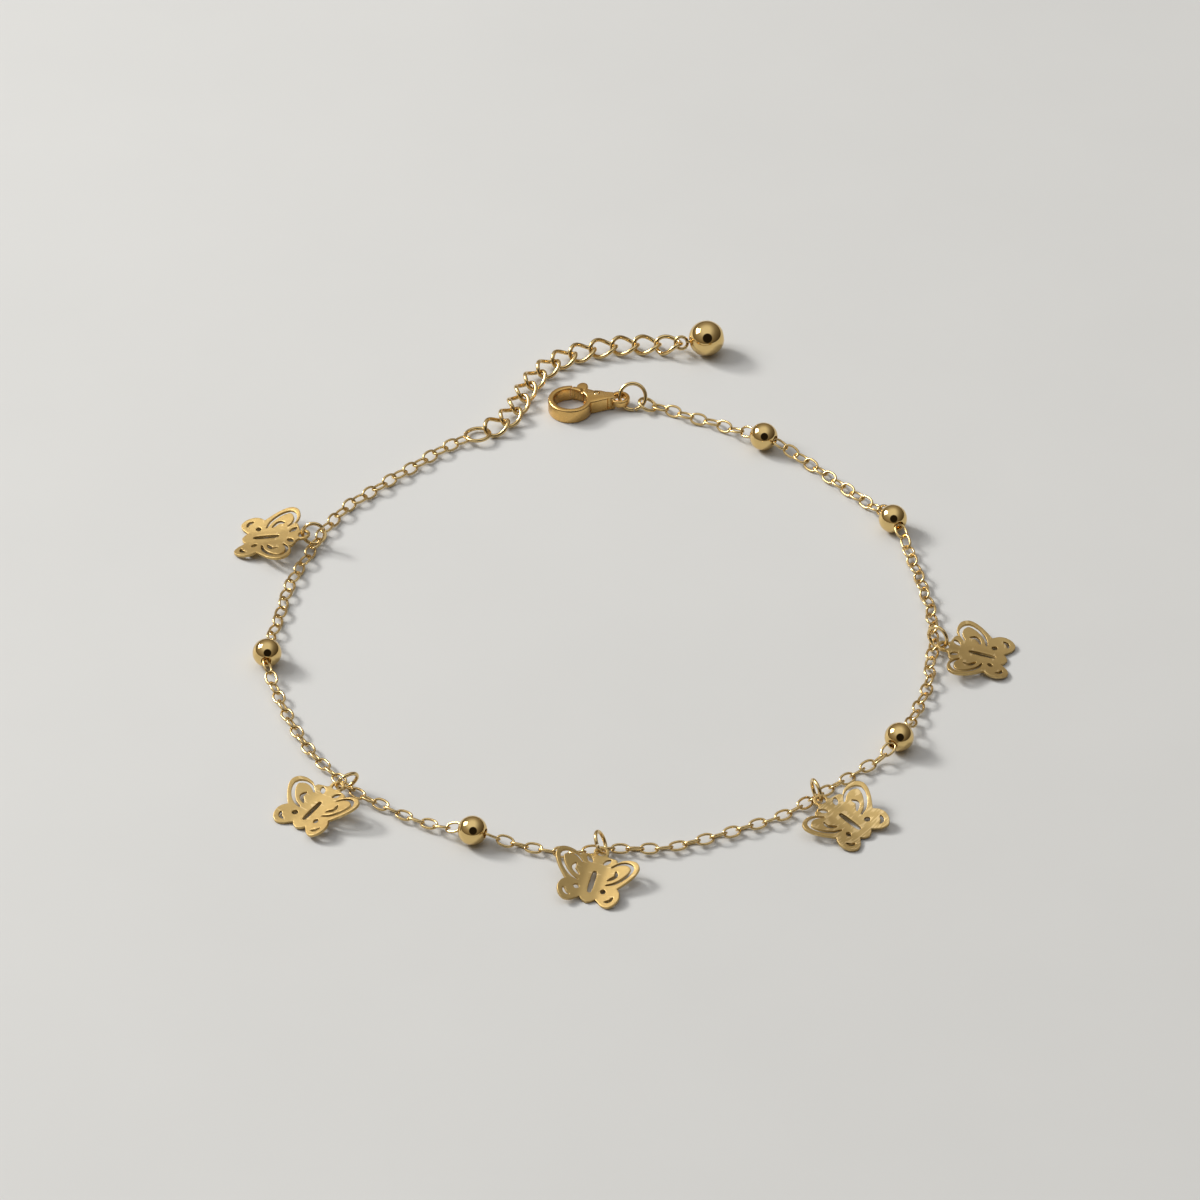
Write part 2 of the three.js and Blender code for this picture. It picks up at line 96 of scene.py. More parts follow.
# Each run of cable chain goes from one fixed end to the next; a charm's number stands for the
# link that carries its ring, and the second list names the frame's nodes that the run replaces.
RUNS = {
    "cable_chain_1": (
        ["clasp_link", (7.5, 33.6, FLAT), (10.1, 32.5, FLAT), (12.4, 30.9, 0.85), "bead_1"],
        ["chain_01"],
    ),
    "cable_chain_2": (
        ["bead_1", (18.6, 26.7, 0.85), (20.6, 24.9, FLAT), (22.9, 22.3, FLAT), (25.3, 19.5, FLAT),
         (27.3, 17.1, 0.8), "bead_2"],
        ["chain_02"],
    ),
    "cable_chain_3": (
        ["bead_2", (30.6, 10.4, 0.8), (31.2, 7.8, FLAT), (32.1, 3.4, FLAT), (32.9, -1.2, FLAT),
         "1", (32.6, -8.8, FLAT), (32.5, -10.8, FLAT), (32.2, -13.4, FLAT), (31.1, -16.8, FLAT),
         (30.3, -19.6, 0.8), "bead_3"],
        ["chain_03", "chain_04"],
    ),
    "cable_chain_4": (
        ["bead_3", (26.6, -26.0, 0.85), (25.0, -27.2, FLAT), (22.6, -29.4, FLAT), "2",
         (17.2, -34.3, FLAT), (14.8, -35.7, FLAT), (11.8, -37.1, FLAT), (8.9, -38.4, FLAT),
         (6.0, -39.5, FLAT), (3.1, -40.2, FLAT), "3", (-5.8, -40.8, FLAT), (-8.7, -40.3, FLAT),
         (-11.2, -39.6, 0.65), (-12.8, -39.2, 0.95), "bead_4"],
        ["chain_05", "chain_06", "chain_07"],
    ),
    "cable_chain_5": (
        ["bead_4", (-19.2, -36.9, 0.8), (-21.6, -35.6, FLAT), (-24.3, -33.9, FLAT),
         (-27.2, -31.8, FLAT), "4", (-31.4, -26.9, FLAT), (-33.2, -23.9, FLAT),
         (-35.0, -20.0, FLAT), (-36.4, -15.9, FLAT), (-37.4, -12.9, 0.8), "bead_5"],
        ["chain_08", "chain_09"],
    ),
    "cable_chain_6": (
        ["bead_5", (-37.6, -5.3, 0.8), (-37.1, -2.6, FLAT), (-36.4, 1.8, FLAT), (-35.4, 5.6, FLAT),
         (-34.3, 8.6, FLAT), "5", (-32.3, 13.6, FLAT), (-30.2, 17.3, FLAT), (-27.8, 19.9, FLAT),
         (-25.0, 22.7, FLAT), (-22.4, 25.3, FLAT), (-20.2, 27.5, FLAT), "tag_ring"],
        ["chain_10", "chain_11"],
    ),
}

# The links' rolls about the chain, taken in turn, in degrees, and how unevenly the links lie.
LINK_ROLLS = (-14, 43)
LINK_ROLL_SPREAD = 9
LINK_SIDE_SPREAD = 0.06
LINK_FULLNESS = 2.3  # 2 gives an ellipse, more gives straighter sides

# The end ball's middle, the way its bore points in degrees, and the pin with its eye.
BALL = {"at": (9.3, 46.3), "heading": 5, "rise": 9}
BALL_PIN = {"wire": 0.36, "eye_radius": 0.68, "turn": 60, "cut": 0.06}  # cut in radians

# Right half of the butterfly from the neck to the tail: u across, v towards the head.
WING_OUTLINE = [
    (0.72, 3.75), (0.95, 3.55), (1.45, 3.4), (1.9, 3.2), (2.05, 2.88), (2.6, 3.2), (3.4, 3.26),
    (4.15, 2.98), (4.54, 2.35), (4.48, 1.65), (4.15, 0.95), (3.65, 0.25), (2.85, -0.65),
    (3.25, -1.25), (3.36, -2.0), (3.05, -2.8), (2.4, -3.25), (1.7, -3.05), (1.2, -2.6),
    (0.84, -2.25), (0.48, -2.6), (0.0, -2.8),
]
WING_CORNERS = (4, 12, 19)  # points of the outline where two curves meet in a notch
EAR = {"hole": (0.0, 4.05), "radius": 0.8, "hole_radius": 0.5, "reach": 1.42, "span": (190, -10)}
CHARM_REST = 0.02  # height of a charm's lowest point

# Slots of the right wing: centre lines, width at the middle, and how far the ends taper.
WING_SLOTS = [
    ([(1.6, 2.2), (2.3, 2.7), (3.15, 2.76), (3.82, 2.25), (3.72, 1.5), (3.25, 0.75), (2.45, 0.05),
      (1.6, -0.25)], 0.4, 0.5),
    ([(2.2, 1.62), (2.28, 0.98), (1.6, 0.42)], 0.42, 0.45),
    ([(0.72, 2.6), (1.16, 3.12)], 0.56, 0.6),
    ([(1.42, -1.1), (1.5, -1.2)], 0.54, 1.0),
    ([(2.0, -2.5), (2.42, -2.4), (2.68, -1.95)], 0.38, 0.5),
]
BODY_SLOT = ([(0.0, 1.2), (0.0, -1.3)], 0.56, 0.8)

# Across a wing: where it folds and over what width, its dish towards the tip in degrees, how
# finely the bend is followed, and the strips that the sheet is divided into so that it can bend.
WING_FOLD = {"at": 0.9, "over": 0.6, "curl": 4.0, "curl_from": 1.4, "curl_over": 3,
             "curl_back": 0.3, "reach": 5, "samples": 501, "strips": 16, "strip": 0.29}

# The clasp seen from above, about its hook's middle: x towards the eye, y towards the lever.
# Spans of arcs are in degrees; inset and edge are a part's setback and the rounding of its edges.
CLASP_POSE = {"at": (-5.9, 35.6), "heading": 8}
HOOK = {"outer": 2.45, "inner": 1.8, "edge": 0.2, "span": (24, 336)}
EYE = {"at": 5.55, "outer": 1.12, "hole": 0.64, "low": 0.55, "high": 1.35, "edge": 0.18}
PIVOT = (3.05, 0.55)
PLAY = 0.05  # room left round the rivet and inside the lever's arm
CHEEK = 0.26  # thickness of the two cheeks that hold the lever's root
TAIL = [(2.75, -0.95), (3.35, -0.8), (4.1, -0.62), (4.95, -0.55), (4.95, 0.55), (4.1, 0.78),
        (3.6, 1.05), (3.0, 1.2)]
GATE_OPENING = [(3.77, 2.27), (3.11, 3.11), (2.33, 3.73), (1.58, 4.11), (-0.3, 0.87), (0.45, 0.78),
                (0.77, 0.46)]
POCKET = [(1.4, -0.2), (2.4, -0.25), (3.6, -0.25), (4.1, 0.1), (4.12, 2.6), (1.4, 2.6)]
NOTCH = {"at": (4.32, -0.78), "radius": 0.32, "low": 0.28, "high": 2.0}
CUT_HEIGHTS = (-1, 3)  # below and above the clasp
CUT_EDGE = 0.01
ARM = {"outer": (46, 74.3), "inner": (80, 46), "inset": 0.12, "edge": 0.16}
NECK = {"outer": (34, 54), "inner": (54, 34)}
ROOT = [(1.62, 0.98), (2.45, 0.0), (3.3, -0.05), (3.85, 0.3), (3.95, 0.8), (3.05, 1.42),
        (2.2, 1.9), (1.85, 1.65)]
ROOT_INSET = 0.06  # room between the lever's root and each cheek
ROOT_EDGE = 0.1
THUMB_TAB = [(1.1, 1.95), (1.85, 1.55), (2.3, 2.2), (2.3, 2.85), (1.9, 3.15), (1.35, 3.0),
             (1.05, 2.5)]
TAB_SHAPE = {"low": 0.3, "high": 1.4, "edge": 0.2}
RIVET = {"radius": 0.3, "proud": 0.05, "dome": 0.1, "foot": 0.05, "chamfer": 0.03}

# How many points or facets each curve of a shape has.
FACETS = {
    "span": 12, "outline_span": 5, "slot_span": 10, "long_slot": 18, "short_slot": 6, "cap": 7,
    "link": 26, "ring": 72, "curb": 56, "pin_eye": 60, "shank": 8, "bead": 96, "ball": 112,
    "ball_arc": 72, "mouth": 5, "bore": 7, "ear": 24, "ear_hole": 40, "hook": 84, "hook_hole": 96,
    "eye": 56, "eye_hole": 40, "small_hole": 32, "arm": 24, "neck": 12, "loop_span": 8,
    "rivet": 40, "dome": 7,
}
THICK_WIRE_SIDES = 4  # sides that a thicker wire has more than the chain's

# Angles between faces, in degrees, over which an edge stays sharp.
SHARP_OVER = {"charm": 50, "cast": 38, "rivet": 50}

# ---- finishes and stage --------------------------------------------------------------------------

# Each plating's colour setting, the values of its shared effects and the strength of its bump; the
# edge value brightens edges, partly as rubbed plating and partly as a painted highlight.
PLATINGS = {
    "wire_plating": {  # drawn wire of the cable chain
        "colour": "chain", "bump": 0.25,
        "tone": {"Scale": 260, "Amount": 0.45, "Wear and highlight": 0.25},
        "marks": {"Roughness": 0.17, "Spread": 0.12, "Scale": 1500, "Marks": 0.5},
        "grain": {"Scale": 6000, "Depth": 0.5},
    },
    "ring_plating": {  # jump rings and the extension's links
        "colour": "chain", "bump": 0.2,
        "tone": {"Scale": 200, "Amount": 0.4, "Wear and highlight": 0.3},
        "marks": {"Roughness": 0.13, "Spread": 0.12, "Scale": 1300, "Marks": 0.6},
        "grain": {"Scale": 5000, "Depth": 0.5},
    },
    "mirror_plating": {  # polished beads and ball
        "colour": "polished", "bump": 0.04,
        "tone": {"Scale": 120, "Amount": 0.2, "Wear and highlight": 0.1},
        "marks": {"Roughness": 0.02, "Spread": 0.03, "Scale": 1800, "Marks": 0.3},
        "grain": {"Scale": 3000, "Depth": 0.2},
    },
    "satin_plating": {  # stamped sheet of the charms
        "colour": "satin", "bump": 0.6,
        "tone": {"Scale": 230, "Amount": 0.35, "Wear and highlight": 0.5},
        "marks": {"Roughness": 0.4, "Spread": 0.14, "Scale": 1600, "Marks": 0.6},
        "grain": {"Scale": 9000, "Depth": 0.9},
    },
    "cast_plating": {  # tumbled casting of the clasp
        "colour": "cast", "bump": 0.35,
        "tone": {"Scale": 300, "Amount": 0.4, "Wear and highlight": 0.5},
        "marks": {"Roughness": 0.2, "Spread": 0.12, "Scale": 1200, "Marks": 0.6},
        "grain": {"Scale": 3500, "Depth": 0.8},
    },
}
PLATING_BUMP_DEPTH = 0.00002  # in metres
EDGE_WEAR_AND_HIGHLIGHT_GOLD = (0.95, 0.74, 0.40, 1)  # brighter tone of rubbed edges, partly a painted highlight where edges catch light

# Honed stone under the anklet: its size in metres and its finish.
SLAB = {"half_width": 0.9, "squares": 8, "deeper": 0.86, "roughness": 0.6, "specular": 0.3,
        "tone": {"Scale": 9.0, "Amount": 0.3, "Wear and highlight": 0.0},
        "grain": {"Scale": 900.0, "Depth": 0.4}, "bump": 0.15, "bump_depth": 0.0001}

# Lights, placed in metres, each with the setting that softens its shadows.
LIGHTS = {
    "window": {"kind": "SUN", "place": (-0.4, 0.3, 0.4), "towards": (0.72, -0.44, -0.56),
               "energy": 1.45, "colour": (1.0, 0.97, 0.92), "soft": ("angle", math.radians(11))},
    "softbox": {"kind": "AREA", "place": (-0.45, 0.17, 0.40), "towards": (0.45, -0.17, -0.40),
                "energy": 2.1, "colour": (1.0, 0.98, 0.95), "soft": ("size", 0.28)},
}

# The surroundings from the horizon to the ceiling, with a dark doorway in front and a dim wall.
SKY = [(0.0, (0.20, 0.17, 0.13, 1)), (0.3, (0.34, 0.29, 0.23, 1)), (0.62, (0.50, 0.46, 0.41, 1)),
       (0.92, (1.0, 1.0, 1.0, 1))]
SKY_STRENGTH = 0.85
DOORWAY = {"towards": (0.10, -0.80, 0.60), "start": 0.83, "gain": 22.0}
FAR_WALL = {"start": 0.25, "gain": 1.1, "depth": 0.8}
ROOM_DARK = (0.02, 0.016, 0.012, 1)

# Angle in degrees, distance and target in millimetres, lens and sensor as on a camera.
CAMERA = {"height_angle": 38.5, "distance": 860.2, "target": (-2.33, 2.33), "lens": 240.0,
          "sensor": 36.0, "clip": (0.01, 10.0)}

# ---- what a user can change --------------------------------------------------------------------


def length_setting(name, description, default):
    """A length in millimetres, shown with its unit."""
    return FloatProperty(name=name, description=description, default=default * MM,
                         min=0.01 * MM, precision=5, subtype="DISTANCE", unit="LENGTH")


def colour_setting(name, description, default):
    """A colour of plating or stone."""
    return FloatVectorProperty(name=name, description=description, default=default, size=3,
                               min=0.0, max=1.0, subtype="COLOR")


class AnkletSizes(bpy.types.PropertyGroup):
    """Sizes of the anklet's wire, links, beads and sheet."""

    link_length: length_setting("Link length", "Outside length of a cable-chain link", 2.05)
    link_width: length_setting("Link width", "Outside width of a cable-chain link", 1.42)
    link_wire: length_setting("Link wire", "Wire thickness of a cable-chain link", 0.28)
    link_pitch: length_setting("Link pitch", "Distance from one link's middle to the next", 1.5)
    bead_radius: length_setting("Bead radius", "Radius of the chain's round beads", 1.55)
    bead_bore: length_setting("Bead bore", "Radius of the hole through a bead", 0.5)
    ball_radius: length_setting("Ball radius", "Radius of the ball at the extension's end", 2.0)
    ball_bore: length_setting("Ball bore", "Radius of the hole through the end ball", 0.45)
    sheet: length_setting("Sheet", "Thickness of the charms' sheet metal", 0.3)
    sheet_edge: length_setting("Sheet edge", "Rounding of the charms' pierced edges", 0.045)
    curb_length: length_setting("Curb length", "Outside length of an extension link", 3.42)
    curb_width: length_setting("Curb width", "Outside width of an extension link", 2.7)
    curb_wire: length_setting("Curb wire", "Wire thickness of an extension link", 0.46)
    curb_twist: FloatProperty(name="Curb twist",
                              description="How far a link's two ends are twisted",
                              default=math.radians(-45), subtype="ANGLE", unit="ROTATION")
    clasp_height: length_setting("Clasp height", "Thickness of the clasp's cast body", 1.7)
    ring_cut: FloatProperty(name="Ring cut", description="Gap left where a jump ring is closed",
                            default=math.radians(5), subtype="ANGLE", unit="ROTATION")
    wire_sides: IntProperty(name="Wire sides", description="Sides of the round wire's section",
                            default=10, min=6, max=24)


class AnkletColours(bpy.types.PropertyGroup):
    """Plating and stage colours."""

    chain: colour_setting("Chain", "Plating of the cable chain and rings", (0.80, 0.60, 0.28))
    polished: colour_setting("Polished", "Plating of the beads and the ball", (0.80, 0.585, 0.25))
    satin: colour_setting("Satin", "Plating of the sheet charms", (0.60, 0.44, 0.185))
    cast: colour_setting("Cast", "Plating of the cast clasp", (0.80, 0.50, 0.16))
    # Painted shade: besides the plating's cloudy deeper patches, this colour darkens its hollows.
    deep_tone_and_shade: colour_setting("Deep tone and shade", "Deeper tone in the plating's hollows", (0.40, 0.24, 0.08))
    slab: colour_setting("Slab", "Pale surface under the anklet", (0.67, 0.68, 0.68))


def sizes():
    """The size settings of the open scene."""
    return bpy.context.scene.anklet_sizes


def colours():
    """The colour settings of the open scene."""
    return bpy.context.scene.anklet_colours


# ---- geometry helpers ----------------------------------------------------------------------------


def direction(degrees):
    """A unit vector on the surface at this heading."""
    turn = math.radians(degrees)
    return Vector((math.cos(turn), math.sin(turn), 0.0))


def between(a, b, c, d, t):
    """The place at share t of the way from b to c on a smooth line through all four."""
    return 0.5 * ((2 * b) + (c - a) * t + (2 * a - 5 * b + 4 * c - d) * t * t
                  + (3 * b - a - 3 * c + d) * t ** 3)


def spline(points, per_span):
    """A smooth route through points, as a dense list."""
    rows = [Vector(p) for p in points]
    ends = [rows[0] * 2 - rows[1]] + rows + [rows[-1] * 2 - rows[-2]]
    dense = []
    for a, b, c, d in zip(ends, ends[1:], ends[2:], ends[3:]):
        dense += [between(a, b, c, d, k / per_span) for k in range(per_span)]
    dense.append(rows[-1].copy())
    return dense


class Route:
    """A dense route that can be asked for a place and a heading at a distance along it."""

    def __init__(self, dense):
        self.points = dense
        self.reach = [0.0]
        for a, b in zip(dense, dense[1:]):
            self.reach.append(self.reach[-1] + (b - a).length)

    def at(self, distance):
        distance = min(max(distance, 0.0), self.reach[-1])
        i = int(np.searchsorted(self.reach, distance, side="right")) - 1
        i = min(max(i, 0), len(self.points) - 2)
        span = self.reach[i + 1] - self.reach[i]
        share = (distance - self.reach[i]) / span if span else 0.0
        return self.points[i].lerp(self.points[i + 1], share)

    def heading(self, distance, step=0.25):
        return (self.at(distance + step) - self.at(distance - step)).normalized()


def sweep(bm, centres, refs, radius, sides, closed):
    """Adds a round wire along centres; refs keep its section from turning."""
    count = len(centres)
    rows = []
    for i, centre in enumerate(centres):
        ahead = centres[(i + 1) % count] if closed or i < count - 1 else centre
        behind = centres[i - 1] if closed or i > 0 else centre
        along = (ahead - behind).normalized()
        side = (refs[i] - along * refs[i].dot(along)).normalized()
        over = along.cross(side)
        rows.append([bm.verts.new(centre + (side * math.cos(a) + over * math.sin(a)) * radius)
                     for a in (2 * math.pi * k / sides for k in range(sides))])
    for i in range(count if closed else count - 1):
        row, after = rows[i], rows[(i + 1) % count]
        for k in range(sides):
            j = (k + 1) % sides
            bm.faces.new((row[k], row[j], after[j], after[k])).smooth = True
    if not closed:
        bm.faces.new(rows[0][::-1])
        bm.faces.new(rows[-1])


def mesh_piece(name, bm, material, scale=MM):
    """Turns a bmesh laid out in millimetres into an object in the frame."""
    bmesh.ops.recalc_face_normals(bm, faces=bm.faces)
    bmesh.ops.scale(bm, vec=(scale,) * 3, verts=bm.verts)
    mesh = bpy.data.meshes.new(name)
    bm.to_mesh(mesh)
    bm.free()
    mesh.materials.append(material)
    piece = bpy.data.objects.new(name, mesh)
    bpy.context.scene.collection.objects.link(piece)
    return piece


def settle(piece, body, nodes):
    """Rides the piece on its body and lets it stand for its nodes of the frame."""
    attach(piece, body)
    if nodes:
        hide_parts(*nodes)
    return piece


def shade_smooth(piece, sharp_over):
    """Shades a piece smoothly except over edges sharper than an angle in degrees."""
    piece.data.shade_smooth()
    piece.data.set_sharp_from_angle(angle=math.radians(sharp_over))
    piece.modifiers.new("even faces", "WEIGHTED_NORMAL").keep_sharp = True


def node_points(node):
    """Vertices of a frame node in millimetres."""
    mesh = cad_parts[node].data
    points = np.empty(len(mesh.vertices) * 3)
    mesh.vertices.foreach_get("co", points)
    return points.reshape(-1, 3) / MM


UNEVEN_RING = 0.1  # offset in millimetres over which the mean of a ring's vertices isn't its centre


def ring_pose(node):
    """Centre, axes, radius and wire of a frame node that is a round ring."""
    points = node_points(node)
    centre, box_centre = points.mean(0), (points.max(0) + points.min(0)) / 2
    if np.linalg.norm(centre - box_centre) >= UNEVEN_RING:
        centre = box_centre
    axes = np.linalg.svd(points - centre, full_matrices=False)[2]
    reach = np.linalg.norm(points - centre, axis=1)
    return (Vector(centre), Vector(axes[0]), Vector(axes[0]).cross(Vector(axes[1])),
            (reach.max() + reach.min()) / 2, reach.max() - reach.min())


def flat_shape(outlines, low, high, edge):
    """A plate with pierced holes and rounded edges, as a bmesh in millimetres."""
    curve = bpy.data.curves.new("outline", "CURVE")
    curve.dimensions = "2D"
    curve.fill_mode = "BOTH"
    curve.extrude = (high - low) / 2 - edge
    curve.bevel_depth = edge
    curve.bevel_resolution = 2
    curve.offset = -edge
    for outline in outlines:
        path = curve.splines.new("POLY")
        path.points.add(len(outline) - 1)
        for point, (x, y) in zip(path.points, outline):
            point.co = (x, y, 0.0, 1.0)
        path.use_cyclic_u = True
    carrier = bpy.data.objects.new("outline", curve)
    bpy.context.scene.collection.objects.link(carrier)
    bpy.context.view_layer.update()
    solid = bpy.data.meshes.new_from_object(carrier.evaluated_get(
        bpy.context.evaluated_depsgraph_get()))
    bm = bmesh.new()
    bm.from_mesh(solid)
    bmesh.ops.remove_doubles(bm, verts=bm.verts, dist=1e-4)
    bmesh.ops.translate(bm, verts=bm.verts, vec=(0, 0, (low + high) / 2))
    bpy.data.objects.remove(carrier)
    bpy.data.curves.remove(curve)
    bpy.data.meshes.remove(solid)
    return bm


def corner_path(points, corners):
    """A smooth open path in the plane that turns sharply at the given corners."""
    marks = [0, *corners, len(points) - 1]
    path = []
    for a, b in zip(marks, marks[1:]):
        part = spline([(x, y, 0.0) for x, y in points[a:b + 1]], FACETS["outline_span"])
        path += [(p.x, p.y) for p in part[:-1]]
    return path + [tuple(points[-1])]


def rounded_loop(corners, count):
    """A closed smooth outline through the corners."""
    closed = corners[-1:] + corners + corners[:2]
    points = []
    for spans in zip(closed, closed[1:], closed[2:], closed[3:]):
        for k in range(count):
            points.append(tuple(between(*ends, k / count) for ends in zip(*spans)))
    return points


def slot_outline(line, width, taper):
    """Closed outline of a slot that narrows towards its round ends."""
    route = Route(spline([(x, y, 0.0) for x, y in line], FACETS["slot_span"]))
    total = route.reach[-1]
    steps = FACETS["long_slot" if total > 1 else "short_slot"]
    look = 0.02  # how far ahead and behind the heading is taken
    right, left = [], []
    for i in range(steps + 1):
        share = i / steps
        at = route.at(total * share)
        along = route.heading(total * share, look)
        half = width / 2 * (1 - (1 - taper) * abs(2 * share - 1) ** 3)
        side = Vector((along.y, -along.x, 0)) * half
        right.append(at + side)
        left.insert(0, at - side)

    def cap(at, along, half):
        turn = math.atan2(along.y, along.x)
        return [at + Vector((math.cos(turn + a), math.sin(turn + a), 0)) * half
                for a in np.linspace(-math.pi / 2, math.pi / 2, FACETS["cap"])[1:-1]]

    half = width / 2 * taper
    end = cap(route.at(total), route.heading(total, look), half)
    start = cap(route.at(0), -route.heading(0, look), half)
    return [(p.x, p.y) for p in start + right + end + left]


def circle(radius, count, cx=0.0, cy=0.0):
    """A closed round outline."""
    return [(cx + radius * math.cos(a), cy + radius * math.sin(a))
            for a in (2 * math.pi * k / count for k in range(count))]


def arc(radius, start, end, steps):
    """Points on an arc round the origin."""
    return [(radius * math.cos(a), radius * math.sin(a))
            for a in np.radians(np.linspace(start, end, steps + 1))]


def united(name, first, others, operation="UNION"):
    """First shape with the others joined to it or cut from it, as a bmesh."""
    def carrier(bm, label):
        mesh = bpy.data.meshes.new(label)
        bmesh.ops.recalc_face_normals(bm, faces=bm.faces)
        bm.to_mesh(mesh)
        bm.free()
        thing = bpy.data.objects.new(label, mesh)
        bpy.context.scene.collection.objects.link(thing)
        return thing

    base = carrier(first, name + "_base")
    tools = [carrier(bm, f"{name}_tool_{i}") for i, bm in enumerate(others)]
    for tool in tools:
        change = base.modifiers.new("join", "BOOLEAN")
        change.operation = operation
        change.solver = "EXACT"
        change.object = tool
    bpy.context.view_layer.update()
    joined = bpy.data.meshes.new_from_object(
        base.evaluated_get(bpy.context.evaluated_depsgraph_get()))
    bm = bmesh.new()
    bm.from_mesh(joined)
    for thing in [base, *tools]:
        bpy.data.objects.remove(thing)
    bpy.data.meshes.remove(joined)
    return bm


def revolved(profile, segments):
    """A closed ring of profile points (along, out) turned about X, as a bmesh."""
    bm = bmesh.new()
    rows = []
    for k in range(segments):
        turn = 2 * math.pi * k / segments
        rows.append([bm.verts.new((x, r * math.cos(turn), r * math.sin(turn)))
                     for x, r in profile])
    for row, after in zip(rows, rows[1:] + rows[:1]):
        for i in range(len(profile)):
            j = (i + 1) % len(profile)
            bm.faces.new((row[i], row[j], after[j], after[i])).smooth = True
    return bm


def turned(profile, segments):
    """A solid turned about Z from (out, height) points that start and end on the axis."""
    bm = bmesh.new()
    foot, head = (bm.verts.new((0, 0, profile[i][1])) for i in (0, -1))
    rows = []
    for k in range(segments):
        turn = 2 * math.pi * k / segments
        rows.append([bm.verts.new((r * math.cos(turn), r * math.sin(turn), z))
                     for r, z in profile[1:-1]])
    for row, after in zip(rows, rows[1:] + rows[:1]):
        bm.faces.new((foot, after[0], row[0]))
        bm.faces.new((row[-1], after[-1], head))
        for i in range(len(row) - 1):
            bm.faces.new((row[i], after[i], after[i + 1], row[i + 1]))
    return bm


def drilled_profile(radius, bore, rim=0.09):
    """Half section of a ball with a bore along X whose mouths are rounded."""
    start = math.asin((bore + rim) / radius)
    outer = [(radius * math.cos(a), radius * math.sin(a))
             for a in np.linspace(start, math.pi - start, FACETS["ball_arc"])]
    mouth = radius * math.cos(start) - rim
    first = 0.25  # angle of the mouth's first point past the ball's own curve
    near = [(-mouth - rim * math.cos(a), bore + rim - rim * math.sin(a))
            for a in np.linspace(first, math.pi / 2, FACETS["mouth"])]
    inside = [(x, bore) for x in np.linspace(-mouth, mouth, FACETS["bore"])[1:-1]]
    return outer + near + inside + [(-x, r) for x, r in reversed(near)]


# ---- shared finishes -----------------------------------------------------------------------------


def effect_group(name, inputs, outputs):
    """An empty shader node group with the named sockets."""
    tree = bpy.data.node_groups.new(name, "ShaderNodeTree")
    for label, kind, value in inputs:
        socket = tree.interface.new_socket(name=label, in_out="INPUT", socket_type=kind)
        socket.default_value = value
    for label, kind in outputs:
        tree.interface.new_socket(name=label, in_out="OUTPUT", socket_type=kind)
    return tree, tree.nodes.new("NodeGroupInput"), tree.nodes.new("NodeGroupOutput")


def feed(tree, socket, value):
    """Sets a socket to a value, or links another node's result to it."""
    if isinstance(value, bpy.types.NodeSocket):
        tree.links.new(value, socket)
    else:
        socket.default_value = value


def math_node(tree, operation, first, second, clamp=False):
    """A maths node with its inputs set or linked, giving back its result."""
    node = tree.nodes.new("ShaderNodeMath")
    node.operation = operation
    node.use_clamp = clamp
    feed(tree, node.inputs[0], first)
    feed(tree, node.inputs[1], second)
    return node.outputs[0]


def mask_above(tree, value, start, gain):
    """A mask that is nothing up to start, then rises by gain until it is full."""
    return math_node(tree, "MULTIPLY", math_node(tree, "SUBTRACT", value, start), gain, clamp=True)


def mixed_colour(tree, share, first, second):
    """A mix of two colours that are set or linked, giving back its result."""
    node = tree.nodes.new("ShaderNodeMix")
    node.data_type = "RGBA"
    feed(tree, node.inputs["Factor"], share)
    feed(tree, node.inputs["A"], first)
    feed(tree, node.inputs["B"], second)
    return node.outputs["Result"]


def noise_of(tree, vector, scale, detail, roughness=0.55):
    """A noise node's value; the scale may be a socket."""
    node = tree.nodes.new("ShaderNodeTexNoise")
    node.inputs["Detail"].default_value = detail
    node.inputs["Roughness"].default_value = roughness
    feed(tree, node.inputs["Vector"], vector)
    feed(tree, node.inputs["Scale"], scale)
    return node.outputs["Fac"]


def build_plating_tone():
    """Cloudy change of tone in electroplated gold, with painted shade darkening its hollows and
    edges brightened partly by rubbing and partly as a painted highlight.
    """
    tree, given, result = effect_group(
        "Plating tone",
        [("Color", "NodeSocketColor", (0.8, 0.6, 0.3, 1)),
         ("Deep", "NodeSocketColor", (0.4, 0.25, 0.1, 1)),
         ("Scale", "NodeSocketFloat", 250.0), ("Amount", "NodeSocketFloat", 0.3),
         ("Wear and highlight", "NodeSocketFloat", 0.2)],
        [("Color", "NodeSocketColor")])
    fine_scale, broad_share, fine_share = 7.0, 0.65, 0.35
    level, painted_shade_gain = 0.5, 9.0
    place = tree.nodes.new("ShaderNodeTexCoord").outputs["Object"]
    broad = noise_of(tree, place, given.outputs["Scale"], detail=2.0)
    finer = math_node(tree, "MULTIPLY", given.outputs["Scale"], fine_scale)
    fine = noise_of(tree, place, finer, detail=4.0)
    blend = math_node(tree, "ADD", math_node(tree, "MULTIPLY", broad, broad_share),
                      math_node(tree, "MULTIPLY", fine, fine_share))
    cloudy = mask_above(tree, blend, start=0.3, gain=2.4)
    edges = tree.nodes.new("ShaderNodeNewGeometry").outputs["Pointiness"]
    # Painted shade: hollows, where pointiness is low, are darkened towards the Deep colour.
    painted_hollow_shade = math_node(tree, "MULTIPLY", math_node(tree, "SUBTRACT", level, edges),
                       painted_shade_gain, clamp=True)
    tone_and_painted_shade = math_node(tree, "MULTIPLY", math_node(tree, "MAXIMUM", cloudy, painted_hollow_shade),
                      given.outputs["Amount"], clamp=True)
    toned = mixed_colour(tree, tone_and_painted_shade, given.outputs["Color"], given.outputs["Deep"])
    # Edges, where pointiness is high, are brightened, partly as rubbed plating and partly as a
    # painted highlight.
    proud = mask_above(tree, edges, start=0.52, gain=12.0)
    wear_and_painted_highlight = math_node(tree, "MULTIPLY", proud, given.outputs["Wear and highlight"])
    tree.links.new(mixed_colour(tree, wear_and_painted_highlight, toned, EDGE_WEAR_AND_HIGHLIGHT_GOLD), result.inputs["Color"])
    return tree


